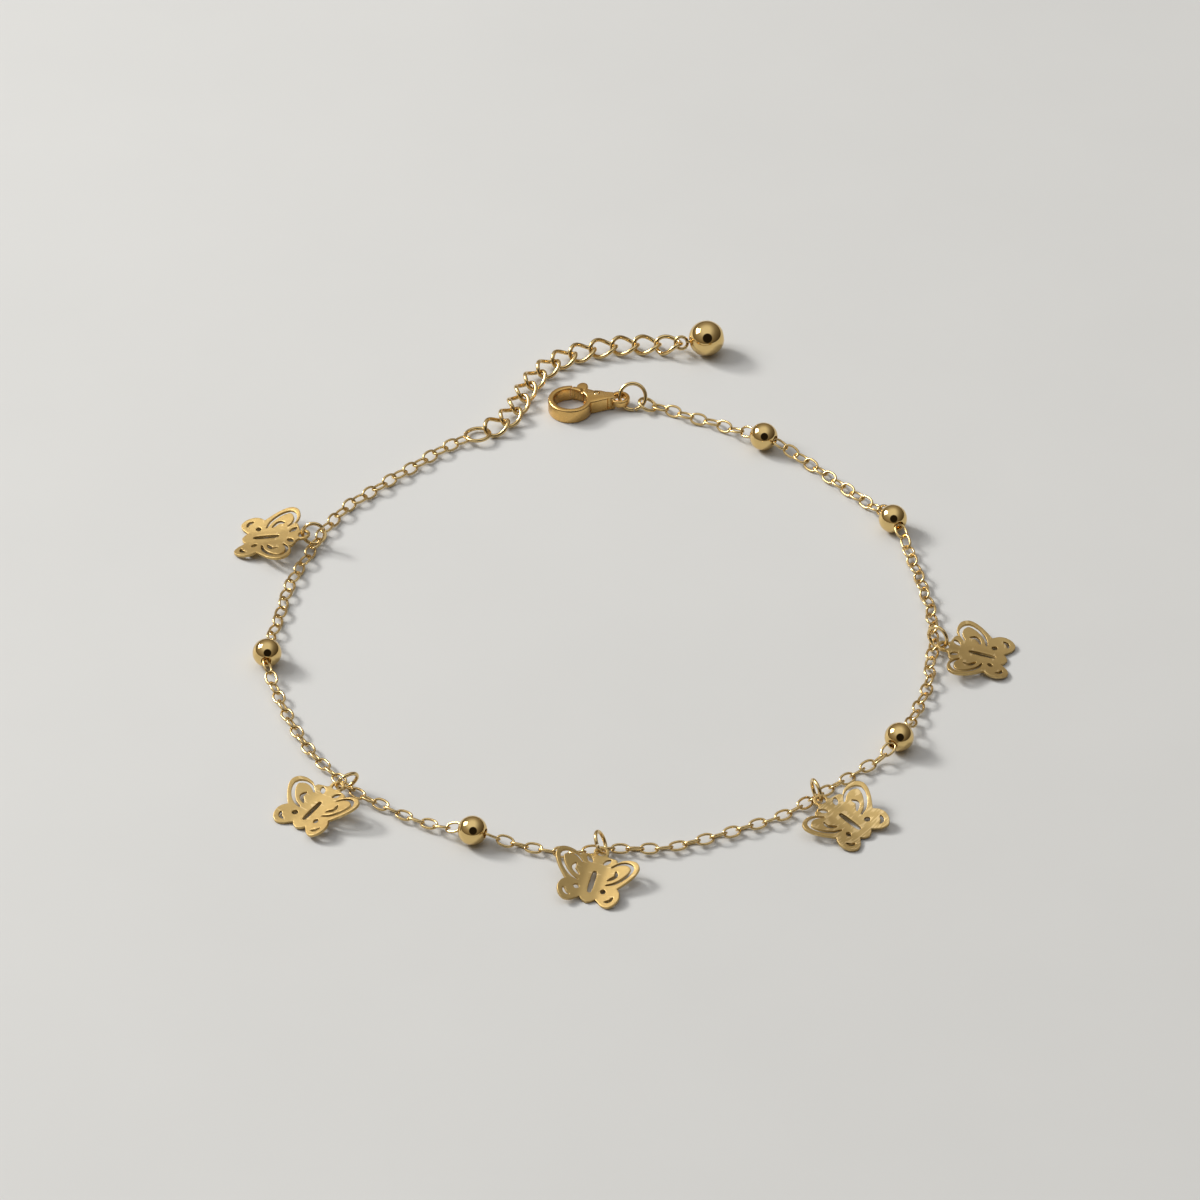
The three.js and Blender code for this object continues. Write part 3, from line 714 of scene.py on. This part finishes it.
def build_handling_marks():
    """Fine hairlines and dulled patches left by wear, as roughness and height."""
    tree, given, result = effect_group(
        "Handling marks",
        [("Roughness", "NodeSocketFloat", 0.2), ("Spread", "NodeSocketFloat", 0.1),
         ("Scale", "NodeSocketFloat", 900.0), ("Marks", "NodeSocketFloat", 0.4)],
        [("Roughness", "NodeSocketFloat"), ("Height", "NodeSocketFloat")])
    place = tree.nodes.new("ShaderNodeTexCoord").outputs["Object"]
    stretched = tree.nodes.new("ShaderNodeMapping")
    stretched.inputs["Rotation"].default_value = (0.3, 0.2, 0.7)
    stretched.inputs["Scale"].default_value = (1.0, 9.0, 5.0)
    tree.links.new(place, stretched.inputs["Vector"])
    patch_scale = 0.4
    hair = noise_of(tree, stretched.outputs[0], given.outputs["Scale"], detail=5.0, roughness=0.7)
    broader = math_node(tree, "MULTIPLY", given.outputs["Scale"], patch_scale)
    patch = noise_of(tree, place, broader, detail=3.0)
    line = mask_above(tree, hair, start=0.56, gain=5.0)
    lines = math_node(tree, "MULTIPLY", line, given.outputs["Marks"])
    dull = math_node(tree, "MULTIPLY", math_node(tree, "ADD", patch, lines),
                     given.outputs["Spread"])
    tree.links.new(math_node(tree, "ADD", given.outputs["Roughness"], dull),
                   result.inputs["Roughness"])
    tree.links.new(lines, result.inputs["Height"])
    return tree


def build_fine_grain():
    """Even fine grain, such as a bead-blasted or stone surface, as height."""
    tree, given, result = effect_group(
        "Fine grain", [("Scale", "NodeSocketFloat", 4000.0), ("Depth", "NodeSocketFloat", 1.0)],
        [("Height", "NodeSocketFloat")])
    place = tree.nodes.new("ShaderNodeTexCoord").outputs["Object"]
    grain = noise_of(tree, place, given.outputs["Scale"], detail=6.0, roughness=0.65)
    tree.links.new(math_node(tree, "MULTIPLY", grain, given.outputs["Depth"]),
                   result.inputs["Height"])
    return tree


EFFECTS = {}


def build_effects():
    """Makes the shared effects once."""
    EFFECTS.update(tone=build_plating_tone(), marks=build_handling_marks(),
                   grain=build_fine_grain())


def placed_group(tree, group, values):
    """A shared effect placed in a material with its own values."""
    node = tree.nodes.new("ShaderNodeGroup")
    node.node_tree = group
    for label, value in values.items():
        node.inputs[label].default_value = value
    return node


def bumped(tree, shader, height, strength, distance):
    """Feeds a height into the shader's normal."""
    bump = tree.nodes.new("ShaderNodeBump")
    bump.inputs["Strength"].default_value = strength
    bump.inputs["Distance"].default_value = distance
    tree.links.new(height, bump.inputs["Height"])
    tree.links.new(bump.outputs[0], shader.inputs["Normal"])


def opaque(colour):
    """A colour setting as four numbers."""
    return (*colour[:3], 1.0)


def plating(name):
    """One of the gold platings, made when it is first asked for."""
    if name in bpy.data.materials:
        return bpy.data.materials[name]
    row = PLATINGS[name]
    material = bpy.data.materials.new(name)
    material.use_nodes = True
    tree = material.node_tree
    shader = tree.nodes["Principled BSDF"]
    shader.inputs["Metallic"].default_value = 1.0
    tone = placed_group(tree, EFFECTS["tone"], {
        "Color": opaque(getattr(colours(), row["colour"])),
        "Deep": opaque(colours().deep_tone_and_shade), **row["tone"]})
    tree.links.new(tone.outputs["Color"], shader.inputs["Base Color"])
    marks = placed_group(tree, EFFECTS["marks"], row["marks"])
    tree.links.new(marks.outputs["Roughness"], shader.inputs["Roughness"])
    grain = placed_group(tree, EFFECTS["grain"], row["grain"])
    height = math_node(tree, "ADD", grain.outputs["Height"], marks.outputs["Height"])
    bumped(tree, shader, height, row["bump"], PLATING_BUMP_DEPTH)
    return material


# ---- pieces --------------------------------------------------------------------------------------


def laid(x, y, z=0.0):
    """A point of the layout in the frame, in millimetres."""
    return Vector((x, y, z)) + LAID


def thick_wire_sides():
    """Sides of the section of a ring, an extension link or the ball's pin."""
    return sizes().wire_sides + THICK_WIRE_SIDES


def oval_link(bm, centre, along, roll, length, width, wire, sides):
    """Adds one closed oval wire link lying along a direction and rolled about it."""
    across = Vector((0, 0, 1)).cross(along).normalized()
    rise = along.cross(across)
    turn = math.radians(roll)
    side = across * math.cos(turn) + rise * math.sin(turn)
    half_length, half_width = (length - wire) / 2, (width - wire) / 2
    power = 2 / LINK_FULLNESS
    spine, refs = [], []
    for k in range(FACETS["link"]):
        a = 2 * math.pi * k / FACETS["link"]
        x = half_length * math.copysign(abs(math.cos(a)) ** power, math.cos(a))
        y = half_width * math.copysign(abs(math.sin(a)) ** power, math.sin(a))
        out = along * x + side * y
        spine.append(centre + out)
        refs.append(out.normalized())
    sweep(bm, spine, refs, wire / 2, sides, True)


def run_marks(stops):
    """A run's route, the distances along it where links sit, and those that carry a charm."""
    size = sizes()
    mouth = math.sqrt(size.bead_radius ** 2 - size.bead_bore ** 2) / MM
    points, charms, gaps = [], [], [0.0, 0.0]
    for i, stop in enumerate(stops):
        if not isinstance(stop, str):
            points.append(laid(*stop))
            continue
        at_end = i == len(stops) - 1
        if stop in CHARMS:
            charms.append(len(points))
            points.append(laid(*CHARMS[stop]["link"], FLAT + CHARM_LIFT))
        elif stop in BEADS:
            x, y, heading = BEADS[stop]
            centre = laid(x, y, size.bead_radius / MM)
            near = laid(*stops[1 if i == 0 else i - 1])
            way = direction(heading)
            way = way if way.dot(near - centre) > 0 else -way
            points.append(centre + way * mouth)
            gaps[at_end] = size.link_length / MM / 2 - BEAD_TUCK
        else:
            points.append(laid(*RUN_ENDS[stop]["at"]))
            gaps[at_end] = RUN_ENDS[stop]["gap"]
    route = Route(spline(points, FACETS["span"]))
    marks = [gaps[0]] + [route.reach[i * FACETS["span"]] for i in charms]
    marks.append(route.reach[-1] - gaps[1])
    places = []
    for a, b in zip(marks, marks[1:]):
        count = max(1, round((b - a) / (size.link_pitch / MM)))
        places += [a + (b - a) * k / count for k in range(count)]
    return route, places + [marks[-1]], marks[1:-1]


class ANKLET_OT_cable_chain(bpy.types.Operator):
    """Make the cable chain, link through link, between the clasp, beads, charms and end ring"""

    bl_idname = "anklet.cable_chain"
    bl_label = "Cable chain"

    def execute(self, context):
        size = sizes()
        rng = random.Random(SEED)
        for name, (stops, nodes) in RUNS.items():
            route, places, fixed = run_marks(stops)
            bm = bmesh.new()
            for i, distance in enumerate(places):
                centre, along = route.at(distance), route.heading(distance)
                roll = (LINK_ROLLS[i % 2]
                        + rng.uniform(-LINK_ROLL_SPREAD, LINK_ROLL_SPREAD))
                if 0 < i < len(places) - 1 and distance not in fixed:
                    centre = centre + Vector((-along.y, along.x, 0)) * rng.uniform(
                        -LINK_SIDE_SPREAD, LINK_SIDE_SPREAD)
                oval_link(bm, centre, along, roll, size.link_length / MM, size.link_width / MM,
                          size.link_wire / MM, size.wire_sides)
            settle(mesh_piece(name, bm, plating("wire_plating")), "anklet", nodes)
        return {"FINISHED"}


class ANKLET_OT_jump_rings(bpy.types.Operator):
    """Make the jump rings at the charms, the clasp and the extension, each with its closed cut"""

    bl_idname = "anklet.jump_rings"
    bl_label = "Jump rings"

    def execute(self, context):
        size = sizes()
        rng = random.Random(SEED + 1)
        nodes = [f"charm_ring_{name}" for name in CHARMS]
        for node in nodes + ["clasp_ring", "clasp_link", "tag_ring"]:
            centre, right, normal, radius, wire = ring_pose(node)
            up = normal.cross(right)
            half_cut = size.ring_cut / 2
            start = rng.uniform(0, 2 * math.pi)
            outs = [right * math.cos(start + a) + up * math.sin(start + a)
                    for a in np.linspace(half_cut, 2 * math.pi - half_cut, FACETS["ring"])]
            bm = bmesh.new()
            sweep(bm, [centre + out * radius for out in outs], outs, wire / 2,
                  thick_wire_sides(), False)
            settle(mesh_piece(f"{node}_wire", bm, plating("ring_plating")), "anklet",
                   [node])
        return {"FINISHED"}


class ANKLET_OT_extension(bpy.types.Operator):
    """Make the twisted links of the adjusting extension"""

    bl_idname = "anklet.extension"
    bl_label = "Extension links"

    def execute(self, context):
        size = sizes()
        half_length = (size.curb_length - size.curb_wire) / MM / 2
        half_width = (size.curb_width - size.curb_wire) / MM / 2
        nodes = sorted(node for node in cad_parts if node.startswith("extension_link_"))
        for node in nodes:
            centre, along, rise, _, _ = ring_pose(node)
            side = rise.cross(along)
            spine, refs = [], []
            for k in range(FACETS["curb"]):
                turn = 2 * math.pi * k / FACETS["curb"]
                across = half_width * math.sin(turn)
                twist = size.curb_twist * math.cos(turn)
                out = (along * (half_length * math.cos(turn)) + side * (across * math.cos(twist))
                       + rise * (across * math.sin(twist)))
                spine.append(centre + out)
                refs.append(out.normalized())
            bm = bmesh.new()
            sweep(bm, spine, refs, size.curb_wire / MM / 2, thick_wire_sides(), True)
            settle(mesh_piece(f"{node}_wire", bm, plating("ring_plating")), "anklet",
                   [node])
        return {"FINISHED"}


class ANKLET_OT_beads(bpy.types.Operator):
    """Make the polished beads of the chain and the ball at the extension's end"""

    bl_idname = "anklet.beads"
    bl_label = "Beads and end ball"

    def execute(self, context):
        size = sizes()
        for name, (x, y, heading) in BEADS.items():
            bm = revolved(drilled_profile(size.bead_radius / MM, size.bead_bore / MM),
                          FACETS["bead"])
            bm.transform(Matrix.Translation(laid(x, y, size.bead_radius / MM))
                         @ Matrix.Rotation(math.radians(heading), 4, "Z"))
            settle(mesh_piece(f"{name}_polished", bm, plating("mirror_plating")), "anklet",
                   [name])
        radius = size.ball_radius / MM
        pose = (Matrix.Translation(laid(*BALL["at"], radius))
                @ Matrix.Rotation(math.radians(BALL["heading"]), 4, "Z")
                @ Matrix.Rotation(math.radians(-BALL["rise"]), 4, "Y"))
        bm = revolved(drilled_profile(radius, size.ball_bore / MM), FACETS["ball"])
        bm.transform(pose)
        settle(mesh_piece("end_ball_polished", bm, plating("mirror_plating")), "anklet",
               ["end_ball"])
        bm = bmesh.new()
        wire, cut = BALL_PIN["wire"] / 2, BALL_PIN["cut"]
        eye_at = Vector((-(radius + BALL_PIN["eye_radius"] + wire), 0, 0))
        lean = Matrix.Rotation(math.radians(BALL_PIN["turn"]), 3, "X")
        outs = [lean @ Vector((math.cos(a), math.sin(a), 0))
                for a in np.linspace(cut, 2 * math.pi - cut, FACETS["pin_eye"])]
        sweep(bm, [eye_at + out * BALL_PIN["eye_radius"] for out in outs], outs, wire,
              thick_wire_sides(), False)
        shank = [Vector((x, 0, 0))
                 for x in np.linspace(-(radius + 2 * wire), 0, FACETS["shank"])]
        sweep(bm, shank, [Vector((0, 0, 1))] * len(shank), wire, thick_wire_sides(), False)
        bm.transform(pose)
        settle(mesh_piece("ball_pin_wire", bm, plating("ring_plating")), "anklet",
               ["ball_pin"])
        return {"FINISHED"}


def butterfly_outlines():
    """The outline, the pierced slots and the ear's hole of a flat charm."""
    hole_x, hole_y = EAR["hole"]
    ear = [(hole_x + x, hole_y + y) for x, y in arc(EAR["radius"], *EAR["span"], FACETS["ear"])]
    right = corner_path(WING_OUTLINE, WING_CORNERS)
    left = [(-x, y) for x, y in reversed(right[:-1])]
    outlines = [ear + right + left]
    for line, width, taper in WING_SLOTS:
        slot = slot_outline(line, width, taper)
        outlines += [slot, [(-x, y) for x, y in reversed(slot)]]
    outlines.append(slot_outline(*BODY_SLOT))
    outlines.append(circle(EAR["hole_radius"], FACETS["ear_hole"], hole_x, hole_y))
    return outlines


def fold_wings(bm, fold):
    """Bends both wings up beside the body, with a slight dish towards their tips."""
    row = WING_FOLD
    for k in range(-row["strips"], row["strips"] + 1):
        bmesh.ops.bisect_plane(bm, geom=bm.verts[:] + bm.edges[:] + bm.faces[:], dist=1e-5,
                               plane_co=(k * row["strip"], 0, 0), plane_no=(1, 0, 0))
    steps = np.linspace(0, row["reach"], row["samples"])
    ease = np.clip((steps - (row["at"] - row["over"] / 2)) / row["over"], 0, 1)
    dish = np.clip(steps - row["curl_from"], 0, row["curl_over"]) / row["curl_over"]
    angle = np.radians(fold * ease * ease * (3 - 2 * ease)
                       + row["curl"] * (dish - row["curl_back"] * ease))
    span = steps[1]
    across = np.concatenate([[0], np.cumsum(np.cos(angle[:-1]) * span)])
    lift = np.concatenate([[0], np.cumsum(np.sin(angle[:-1]) * span)])
    for vert in bm.verts:
        u, v, z = vert.co
        reach = abs(u)
        tip = float(np.interp(reach, steps, angle))
        out = float(np.interp(reach, steps, across)) - z * math.sin(tip)
        up = float(np.interp(reach, steps, lift)) + z * math.cos(tip)
        vert.co = (math.copysign(out, u) if reach > 1e-6 else 0.0, v, up)


class ANKLET_OT_butterflies(bpy.types.Operator):
    """Make the pierced sheet butterflies with their folded wings"""

    bl_idname = "anklet.butterflies"
    bl_label = "Butterfly charms"

    def execute(self, context):
        size = sizes()
        half = size.sheet / MM / 2
        for name, row in CHARMS.items():
            bm = flat_shape(butterfly_outlines(), -half, half, size.sheet_edge / MM)
            fold_wings(bm, row["fold"])
            bm.transform(Matrix.Rotation(math.radians(row["heading"] + 90), 4, "Z")
                         @ Matrix.Rotation(math.radians(row["pitch"]), 4, "X")
                         @ Matrix.Rotation(math.radians(row["roll"]), 4, "Y")
                         @ Matrix.Translation((0, -EAR["hole"][1], 0)))
            hole = laid(*row["link"]) + direction(row["toward"]) * EAR["reach"]
            hole.z = CHARM_REST - min(vert.co.z for vert in bm.verts)
            bm.transform(Matrix.Translation(hole))
            charm = mesh_piece(f"butterfly_{name}_charm", bm, plating("satin_plating"))
            shade_smooth(charm, SHARP_OVER["charm"])
            settle(charm, "anklet", [f"butterfly_{name}"])
        return {"FINISHED"}


def cutter(outline, low=CUT_HEIGHTS[0], high=CUT_HEIGHTS[1]):
    """A sharp-edged tool that cuts an outline out of the clasp, all the way or between heights."""
    return flat_shape([outline], low, high, CUT_EDGE)


def finish_cast(name, bm, body, nodes, material, sharp_over):
    """Places a part of the clasp and shades its rounded edges smoothly."""
    bmesh.ops.dissolve_degenerate(bm, edges=bm.edges, dist=1e-4)
    bm.transform(Matrix.Translation(laid(*CLASP_POSE["at"]))
                 @ Matrix.Rotation(math.radians(CLASP_POSE["heading"]), 4, "Z"))
    part = mesh_piece(name, bm, plating(material))
    shade_smooth(part, SHARP_OVER[sharp_over])
    return settle(part, body, nodes)


class ANKLET_OT_clasp(bpy.types.Operator):
    """Make the cast lobster clasp: hooked body with its eye, hinged lever and domed rivet"""

    bl_idname = "anklet.clasp"
    bl_label = "Lobster clasp"

    def execute(self, context):
        height = sizes().clasp_height / MM
        eye_hole = circle(EYE["hole"], FACETS["eye_hole"], EYE["at"])
        rivet_hole = circle(RIVET["radius"] + PLAY, FACETS["small_hole"], *PIVOT)

        outline = arc(HOOK["outer"], *HOOK["span"], FACETS["hook"]) + TAIL
        body = flat_shape([outline, circle(HOOK["inner"], FACETS["hook_hole"])], 0, height,
                          HOOK["edge"])
        eye = flat_shape([circle(EYE["outer"], FACETS["eye"], EYE["at"]), eye_hole],
                         EYE["low"], EYE["high"], EYE["edge"])
        notch = circle(NOTCH["radius"], FACETS["small_hole"], *NOTCH["at"])
        hook = united("hook", united("hook", body, [eye]), [
            cutter(GATE_OPENING), cutter(POCKET, CHEEK, height - CHEEK),
            cutter(notch, NOTCH["low"], NOTCH["high"]), cutter(eye_hole), cutter(rivet_hole)],
            "DIFFERENCE")
        finish_cast("clasp_hook", hook, "anklet", ["clasp_body"], "cast_plating",
                    "cast")

        inner = HOOK["inner"] + PLAY
        in_pocket = (CHEEK + ROOT_INSET, height - CHEEK - ROOT_INSET, ROOT_EDGE)
        arm = flat_shape([arc(HOOK["outer"], *ARM["outer"], FACETS["arm"])
                          + arc(inner, *ARM["inner"], FACETS["arm"])],
                         ARM["inset"], height - ARM["inset"], ARM["edge"])
        neck = flat_shape([arc(HOOK["outer"], *NECK["outer"], FACETS["neck"])
                           + arc(inner, *NECK["inner"], FACETS["neck"])], *in_pocket)
        root = flat_shape([rounded_loop(ROOT, FACETS["loop_span"])], *in_pocket)
        tab = flat_shape([rounded_loop(THUMB_TAB, FACETS["loop_span"])],
                         TAB_SHAPE["low"], TAB_SHAPE["high"], TAB_SHAPE["edge"])
        lever = united("lever", arm, [neck, root, tab])
        lever = united("lever", lever, [cutter(rivet_hole)], "DIFFERENCE")
        finish_cast("clasp_gate", lever, "lever", ["clasp_lever"], "cast_plating",
                    "cast")

        radius, foot, chamfer = RIVET["radius"], RIVET["foot"], RIVET["chamfer"]
        top = height + RIVET["proud"]
        dome = [(radius * math.cos(a), top - RIVET["dome"] + RIVET["dome"] * math.sin(a))
                for a in np.linspace(0.0, math.pi / 2, FACETS["dome"])[:-1]]
        rivet = turned([(0, foot), (radius - chamfer, foot), (radius, foot + chamfer), *dome,
                        (0, top)], FACETS["rivet"])
        rivet.transform(Matrix.Translation((*PIVOT, 0)))
        finish_cast("clasp_pin", rivet, "anklet", ["clasp_rivet"], "ring_plating",
                    "rivet")
        return {"FINISHED"}


# ---- stage ---------------------------------------------------------------------------------------


def slab_finish():
    """Pale honed stone."""
    material = bpy.data.materials.new("pale_slab")
    material.use_nodes = True
    tree = material.node_tree
    shader = tree.nodes["Principled BSDF"]
    tone = placed_group(tree, EFFECTS["tone"], {
        "Color": opaque(colours().slab),
        "Deep": opaque([part * SLAB["deeper"] for part in colours().slab]), **SLAB["tone"]})
    tree.links.new(tone.outputs["Color"], shader.inputs["Base Color"])
    shader.inputs["Roughness"].default_value = SLAB["roughness"]
    shader.inputs["Specular IOR Level"].default_value = SLAB["specular"]
    grain = placed_group(tree, EFFECTS["grain"], SLAB["grain"])
    bumped(tree, shader, grain.outputs["Height"], SLAB["bump"], SLAB["bump_depth"])
    return material


def add_light(name, row):
    """A light aimed along a direction."""
    data = bpy.data.lights.new(name, row["kind"])
    data.energy = row["energy"]
    data.color = row["colour"]
    setattr(data, *row["soft"])
    light = bpy.data.objects.new(name, data)
    light.location = row["place"]
    light.rotation_euler = Vector(row["towards"]).to_track_quat("-Z", "Y").to_euler()
    bpy.context.scene.collection.objects.link(light)


def studio_sky():
    """A soft bright ceiling over darker walls, for the metal to mirror."""
    world = bpy.data.worlds.new("studio")
    world.use_nodes = True
    tree = world.node_tree
    background = tree.nodes["Background"]
    way = tree.nodes.new("ShaderNodeTexCoord").outputs["Generated"]
    split = tree.nodes.new("ShaderNodeSeparateXYZ")
    ramp = tree.nodes.new("ShaderNodeValToRGB")
    tree.links.new(way, split.inputs[0])
    tree.links.new(split.outputs["Z"], ramp.inputs[0])
    stops = ramp.color_ramp.elements
    for stop, (place, colour) in zip(stops, (SKY[0], SKY[-1])):
        stop.position, stop.color = place, colour
    for place, colour in SKY[1:-1]:
        stops.new(place).color = colour
    front = tree.nodes.new("ShaderNodeVectorMath")
    front.operation = "DOT_PRODUCT"
    front.inputs[1].default_value = Vector(DOORWAY["towards"]).normalized()
    tree.links.new(way, front.inputs[0])
    doorway = mask_above(tree, front.outputs["Value"], DOORWAY["start"], DOORWAY["gain"])
    far_wall = mask_above(tree, split.outputs["X"], FAR_WALL["start"], FAR_WALL["gain"])
    dark = math_node(tree, "MAXIMUM", doorway,
                     math_node(tree, "MULTIPLY", far_wall, FAR_WALL["depth"]))
    tree.links.new(mixed_colour(tree, dark, ramp.outputs["Color"], ROOM_DARK),
                   background.inputs["Color"])
    background.inputs["Strength"].default_value = SKY_STRENGTH
    bpy.context.scene.world = world


class ANKLET_OT_stage(bpy.types.Operator):
    """Lay the pale slab, hang the lights and set the camera"""

    bl_idname = "anklet.stage"
    bl_label = "Stage"

    def execute(self, context):
        scene = context.scene
        bm = bmesh.new()
        bmesh.ops.create_grid(bm, x_segments=SLAB["squares"], y_segments=SLAB["squares"],
                              size=SLAB["half_width"])
        slab = mesh_piece("slab", bm, slab_finish(), 1.0)
        for name, row in LIGHTS.items():
            add_light(name, row)
        studio_sky()
        tilt = math.radians(CAMERA["height_angle"])
        back = CAMERA["distance"] * MM
        target = Vector((*CAMERA["target"], 0)) * MM
        data = bpy.data.cameras.new("camera")
        data.lens = CAMERA["lens"]
        data.sensor_width = CAMERA["sensor"]
        data.clip_start, data.clip_end = CAMERA["clip"]
        camera = bpy.data.objects.new("camera", data)
        camera.location = target + Vector((0, -math.cos(tilt), math.sin(tilt))) * back
        camera.rotation_euler = (math.pi / 2 - tilt, 0, 0)
        scene.collection.objects.link(camera)
        scene.camera = camera
        scene.view_settings.view_transform = "Standard"
        return {"FINISHED"}


STEPS = (ANKLET_OT_cable_chain, ANKLET_OT_jump_rings, ANKLET_OT_extension, ANKLET_OT_beads,
         ANKLET_OT_butterflies, ANKLET_OT_clasp, ANKLET_OT_stage)


class ANKLET_PT_panel(bpy.types.Panel):
    """Lists the anklet's pieces in the order they are made"""

    bl_idname = "ANKLET_PT_panel"
    bl_label = "Charm anklet"
    bl_space_type = "VIEW_3D"
    bl_region_type = "UI"
    bl_category = "Anklet"

    def draw(self, context):
        for step in STEPS:
            self.layout.operator(step.bl_idname)
        for settings in (context.scene.anklet_sizes, context.scene.anklet_colours):
            box = self.layout.box()
            for label in settings.bl_rna.properties.keys():
                if label not in {"rna_type", "name"}:
                    box.prop(settings, label)


CLASSES = (AnkletSizes, AnkletColours, *STEPS, ANKLET_PT_panel)


def register():
    for item in CLASSES:
        bpy.utils.register_class(item)
    bpy.types.Scene.anklet_sizes = PointerProperty(type=AnkletSizes)
    bpy.types.Scene.anklet_colours = PointerProperty(type=AnkletColours)


def unregister():
    del bpy.types.Scene.anklet_colours
    del bpy.types.Scene.anklet_sizes
    for item in reversed(CLASSES):
        bpy.utils.unregister_class(item)


def main():
    register()
    build_effects()
    bpy.ops.anklet.cable_chain()
    bpy.ops.anklet.jump_rings()
    bpy.ops.anklet.extension()
    bpy.ops.anklet.beads()
    bpy.ops.anklet.butterflies()
    bpy.ops.anklet.clasp()
    bpy.ops.anklet.stage()


if __name__ == "__main__":
    main()
